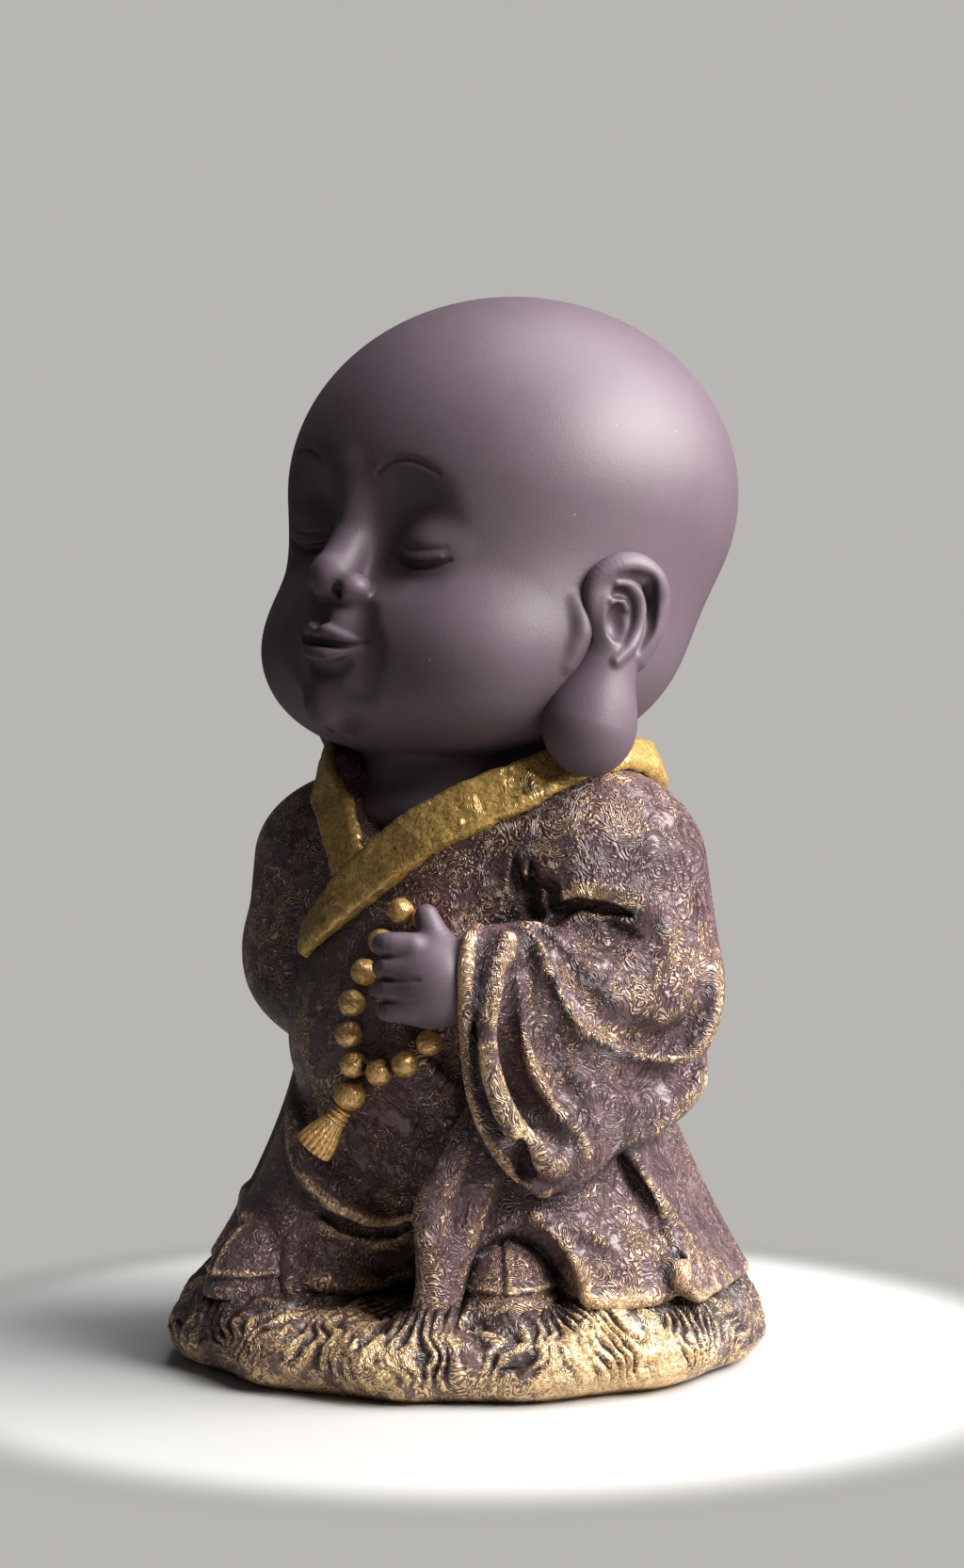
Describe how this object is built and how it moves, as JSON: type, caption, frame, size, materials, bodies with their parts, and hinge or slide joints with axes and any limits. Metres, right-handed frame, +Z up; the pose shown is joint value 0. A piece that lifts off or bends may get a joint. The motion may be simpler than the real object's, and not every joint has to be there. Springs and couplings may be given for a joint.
{
  "type": "monk figurine",
  "caption": "Small fired-clay figurine of a round-headed child monk in a robe, standing on a round straw mat and holding a string of beads.",
  "frame": {"origin": "middle of the mat's flat underside", "axes": "+Z up, the figure looks along -Y, its left hand is on +X"},
  "size_m": [0.0992, 0.0992, 0.1755],
  "materials": {
    "clay": "matte unglazed purple-brown clay with fine grain",
    "robe_glaze": "dark aubergine slip, dry-brushed with pale gold on the ridges",
    "gold_paint": "antique gold paint over clay, satin, darker in the hollows",
    "straw_gold": "gold dry-brushed over dark brown slip"
  },
  "bodies": {
    "root": {"base_mat": "straw_gold", "under_robe": "robe_glaze", "robe_body": "robe_glaze", "coat_skirt": "robe_glaze", "front_drape": "robe_glaze", "left_sleeve": "robe_glaze", "right_sleeve": "robe_glaze", "left_hand": "clay", "right_hand": "clay", "left_shoe": "robe_glaze", "right_shoe": "robe_glaze", "left_collar_band": "gold_paint", "right_collar_band": "gold_paint", "head": "clay", "left_ear": "clay", "right_ear": "clay", "bead_01": "gold_paint", "bead_02": "gold_paint", "bead_03": "gold_paint", "bead_04": "gold_paint", "bead_05": "gold_paint", "bead_06": "gold_paint", "bead_07": "gold_paint", "bead_08": "gold_paint", "bead_09": "gold_paint", "bead_10": "gold_paint", "bead_11": "gold_paint", "bead_12": "gold_paint", "bead_13": "gold_paint", "guru_bead": "gold_paint", "tassel_cap": "gold_paint", "tassel": "gold_paint"}
  },
  "joints": []
}
